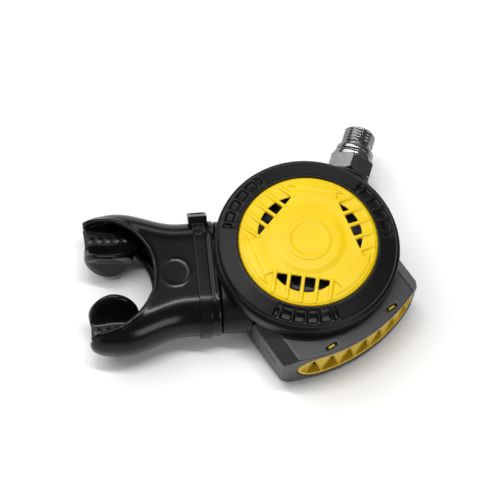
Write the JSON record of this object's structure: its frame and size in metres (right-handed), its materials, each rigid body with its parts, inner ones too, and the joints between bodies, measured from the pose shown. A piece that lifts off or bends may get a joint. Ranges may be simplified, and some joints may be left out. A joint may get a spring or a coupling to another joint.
{
  "type": "scuba regulator second stage",
  "caption": "Side-breathing scuba demand valve: round purge cover in a bayonet ring, exhaust horn with grille, bite mouthpiece and threaded hose inlet.",
  "frame": {"origin": "on the axis of the round purge cover, in the flat back of the case", "axes": "+Z out of the purge cover; +X away from the mouthpiece, which points along -X; the hose inlet points to +Y and +X, the exhaust horn to -Y and +X"},
  "size_m": [0.1438, 0.1128, 0.0424],
  "materials": {
    "case_nylon": "satin black moulded",
    "horn_plastic": "satin black moulded",
    "yellow_cover": "soft gloss yellow",
    "yellow_louvre": "satin yellow",
    "silicone": "matt silicone",
    "black_silicone": "satin black silicone",
    "strap_nylon": "satin black",
    "satin_nickel": "satin nickel plated",
    "steel": "stainless",
    "seal_rubber": "black nitrile",
    "poppet_plastic": "natural acetal"
  },
  "bodies": {
    "housing": {"case": "case_nylon", "exhaust_horn": "horn_plastic", "exhaust_louvre": "yellow_louvre", "exhaust_valve": "silicone", "mouthpiece": "black_silicone", "mouthpiece_strap": "strap_nylon", "valve_barrel": "satin_nickel", "barrel_gasket": "seal_rubber", "inlet_washer": "seal_rubber", "inlet_fitting": "satin_nickel", "orifice": "satin_nickel", "orifice_oring": "seal_rubber", "diaphragm": "silicone", "diaphragm_clamp": "case_nylon", "purge_spring": "steel", "poppet_spring": "steel"},
    "cover_ring": {"cover_ring": "case_nylon"},
    "purge_cover": {"purge_cover": "yellow_cover"},
    "diaphragm_plate": {"diaphragm_plate": "steel"},
    "lever": {"lever": "steel"},
    "poppet": {"poppet": "poppet_plastic", "poppet_seat": "seal_rubber", "lever_washer": "steel", "lock_nut": "steel"}
  },
  "joints": [
    {"name": "ring_turn", "type": "hinge", "parent": "housing", "child": "cover_ring", "pos_m": [0, 0, 0], "axis": [0, 0, 1], "range_deg": [0, 25]},
    {"name": "purge_press", "type": "slide", "parent": "cover_ring", "child": "purge_cover", "axis": [0, 0, -1], "range_m": [0, 0.003], "stiffness_N_per_m": 400, "springref_m": -0.004, "deforming": ["purge_spring"]},
    {"name": "diaphragm_travel", "type": "slide", "parent": "housing", "child": "diaphragm_plate", "axis": [0, 0, -1], "range_m": [0, 0.003], "deforming": ["diaphragm"]},
    {"name": "lever_pivot", "type": "hinge", "parent": "housing", "child": "lever", "pos_m": [-0.00057, -0.02063, 0.0223], "axis": [-0.9252, 0.3795, 0], "range_deg": [0, 8.91]},
    {"name": "poppet_slide", "type": "slide", "parent": "housing", "child": "poppet", "axis": [-0.3795, -0.9252, 0], "range_m": [0, 0.00075], "deforming": ["poppet_spring"]}
  ],
  "couplings": [
    {"joint": "diaphragm_travel", "follows": "purge_press", "ratio": 1},
    {"joint": "lever_pivot", "follows": "purge_press", "rad_per_m": 51.813},
    {"joint": "poppet_slide", "follows": "purge_press", "ratio": 0.24871}
  ]
}
